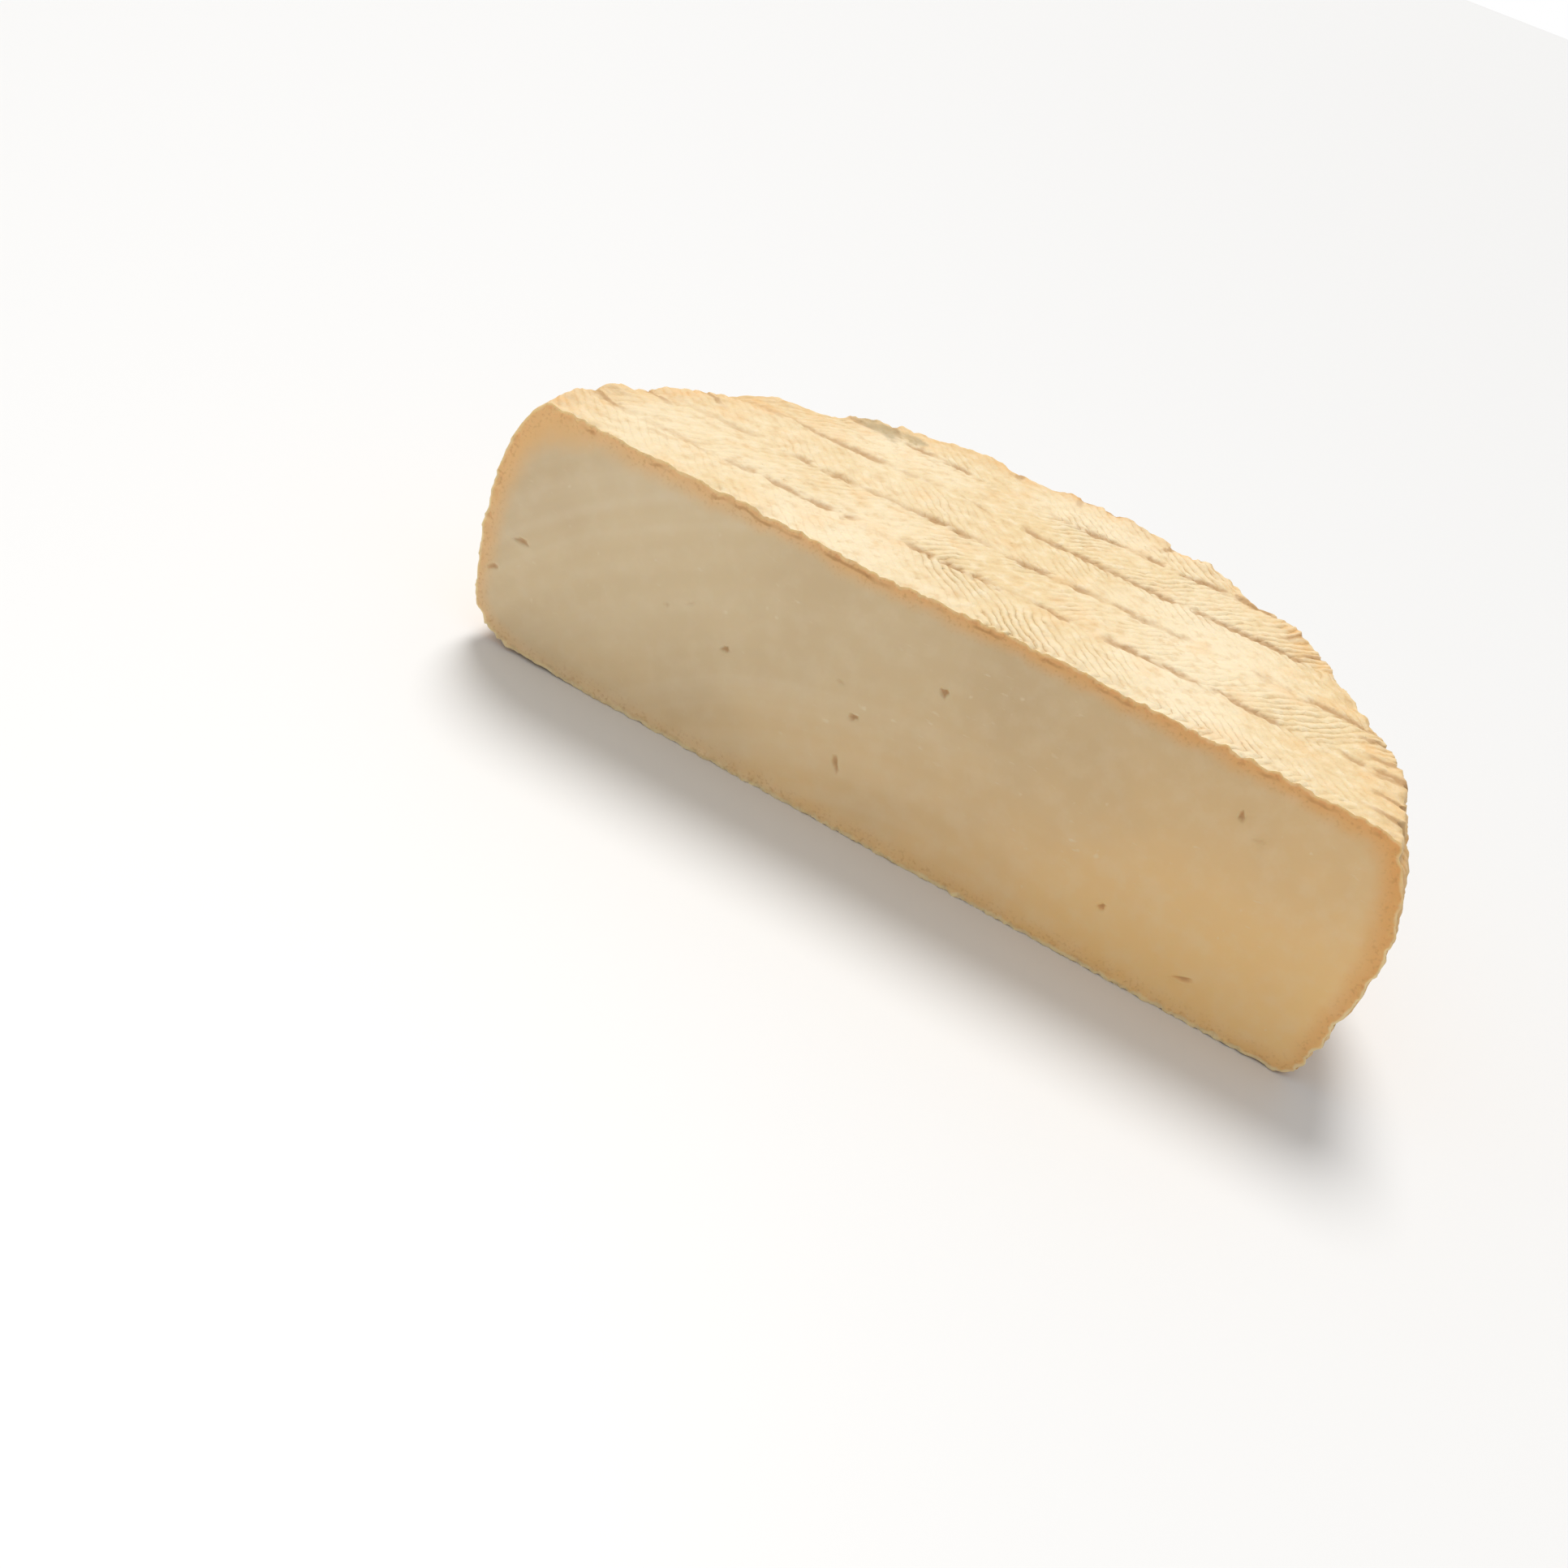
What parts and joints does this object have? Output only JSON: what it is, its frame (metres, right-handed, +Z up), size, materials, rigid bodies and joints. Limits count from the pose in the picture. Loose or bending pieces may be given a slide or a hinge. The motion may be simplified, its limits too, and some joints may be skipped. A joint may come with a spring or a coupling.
{
  "type": "half cheese wheel",
  "caption": "Half of a pale pressed cheese wheel with woven-mat marks on its rind, cut through the middle, lying flat with its paste showing.",
  "frame": {"origin": "centre of the footprint of the half wheel, on the surface it lies on", "axes": "+X along the straight cut edge, +Y from the cut face into the cheese, +Z up from the lower rind to the upper rind"},
  "size_m": [0.23, 0.115, 0.0645],
  "materials": {
    "cheese": "dry cream-coloured rind with mat marks on the outside, smooth ivory paste on the cut face"
  },
  "bodies": {
    "root": {"half_wheel": "cheese"}
  },
  "joints": []
}
